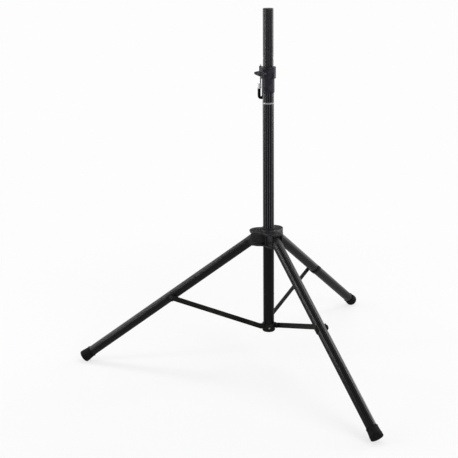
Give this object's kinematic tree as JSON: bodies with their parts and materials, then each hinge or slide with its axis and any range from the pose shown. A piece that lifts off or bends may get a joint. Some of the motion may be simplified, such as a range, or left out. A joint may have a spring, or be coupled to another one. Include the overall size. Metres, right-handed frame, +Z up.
{
  "type": "speaker tripod stand",
  "caption": "Folding tripod stand with a sliding grooved pole, wing-knob clamp, hanging lock pin, sliding hub, tube legs with flat struts and flared rubber feet.",
  "frame": {"origin": "the point on the floor under the column's axis", "axes": "+Z up along the column and pole; -X towards leg A; legs B and C at 60 degrees on either side of +X"},
  "size_m": [1.0322, 1.1852, 1.244],
  "materials": {
    "tube": "black anodised, satin",
    "moulded": "fine grained black nylon",
    "pad": "plain nylon",
    "bright_steel": "zinc plated",
    "black_steel": "black powder coat, satin",
    "steel_rod": "plain drawn",
    "chrome": "polished",
    "vinyl": "dipped, glossy",
    "foot_rubber": "matt"
  },
  "bodies": {
    "column": {"outer_tube": "tube", "guide_sleeve": "moulded", "clamp_ring": "moulded", "clamp_pad": "pad", "silver_band": "bright_steel", "base_bracket": "black_steel", "base_rivets": "black_steel", "base_screw": "bright_steel", "base_plug": "moulded"},
    "pole": {"inner_tube": "tube", "top_cap": "moulded", "inner_bush": "moulded"},
    "clamp_knob": {"clamp_screw": "bright_steel", "clamp_knob": "moulded"},
    "lock_pin": {"lock_pin": "steel_rod", "pin_ferrule": "chrome", "pin_grip": "vinyl"},
    "hub": {"hub_body": "moulded", "hub_top": "moulded", "hub_pad": "pad", "leg_bolt_a": "black_steel", "leg_bolt_b": "black_steel", "leg_bolt_c": "black_steel"},
    "hub_knob": {"hub_screw": "bright_steel", "hub_knob": "moulded"},
    "leg_a": {"leg_tube_a": "tube", "leg_head_a": "moulded", "foot_cap_a": "foot_rubber", "saddle_a": "black_steel"},
    "strut_a": {"strut_a": "black_steel", "strut_bolt_a": "bright_steel"},
    "leg_b": {"leg_tube_b": "tube", "leg_head_b": "moulded", "foot_cap_b": "foot_rubber", "saddle_b": "black_steel"},
    "strut_b": {"strut_b": "black_steel", "strut_bolt_b": "bright_steel"},
    "leg_c": {"leg_tube_c": "tube", "leg_head_c": "moulded", "foot_cap_c": "foot_rubber", "saddle_c": "black_steel"},
    "strut_c": {"strut_c": "black_steel", "strut_bolt_c": "bright_steel"}
  },
  "joints": [
    {"name": "hub_slide", "type": "slide", "parent": "column", "child": "hub", "axis": [0, 0, 1], "range_m": [0, 0.3756]},
    {"name": "pole_slide", "type": "slide", "parent": "column", "child": "pole", "axis": [0, 0, 1], "range_m": [0, 0.62]},
    {"name": "clamp_knob_turn", "type": "hinge", "parent": "column", "child": "clamp_knob", "pos_m": [-0.02603, -0.03103, 1.038], "axis": [-0.6428, -0.766, 0], "range_deg": [0, 360]},
    {"name": "hub_knob_turn", "type": "hinge", "parent": "hub", "child": "hub_knob", "pos_m": [-0.028, 0.0485, 0.46601], "axis": [-0.5, 0.866, 0], "range_deg": [0, 360]},
    {"name": "lock_pin_lift", "type": "slide", "parent": "column", "child": "lock_pin", "axis": [0, 0, 1], "range_m": [0, 0.035]},
    {"name": "leg_a_fold", "type": "hinge", "parent": "hub", "child": "leg_a", "pos_m": [-0.048, 0, 0.46801], "axis": [0, -1, 0], "range_deg": [0, 53.88]},
    {"name": "strut_a_fold", "type": "hinge", "parent": "column", "child": "strut_a", "pos_m": [-0.026, -0.0224, 0.147], "axis": [0, 1, 0], "range_deg": [0, 67.62]},
    {"name": "leg_b_fold", "type": "hinge", "parent": "hub", "child": "leg_b", "pos_m": [0.024, -0.04157, 0.46801], "axis": [0.866, 0.5, 0], "range_deg": [0, 53.88]},
    {"name": "strut_b_fold", "type": "hinge", "parent": "column", "child": "strut_b", "pos_m": [0.0324, -0.01132, 0.147], "axis": [-0.866, -0.5, 0], "range_deg": [0, 67.62]},
    {"name": "leg_c_fold", "type": "hinge", "parent": "hub", "child": "leg_c", "pos_m": [0.024, 0.04157, 0.46801], "axis": [-0.866, 0.5, 0], "range_deg": [0, 53.88]},
    {"name": "strut_c_fold", "type": "hinge", "parent": "column", "child": "strut_c", "pos_m": [-0.0064, 0.03372, 0.147], "axis": [0.866, -0.5, 0], "range_deg": [0, 67.62]}
  ],
  "couplings": [
    {"joint": "leg_a_fold", "follows": "hub_slide", "rad_per_m": 2.5026},
    {"joint": "strut_a_fold", "follows": "hub_slide", "rad_per_m": 3.1409},
    {"joint": "leg_b_fold", "follows": "hub_slide", "rad_per_m": 2.5026},
    {"joint": "strut_b_fold", "follows": "hub_slide", "rad_per_m": 3.1409},
    {"joint": "leg_c_fold", "follows": "hub_slide", "rad_per_m": 2.5026},
    {"joint": "strut_c_fold", "follows": "hub_slide", "rad_per_m": 3.1409}
  ]
}
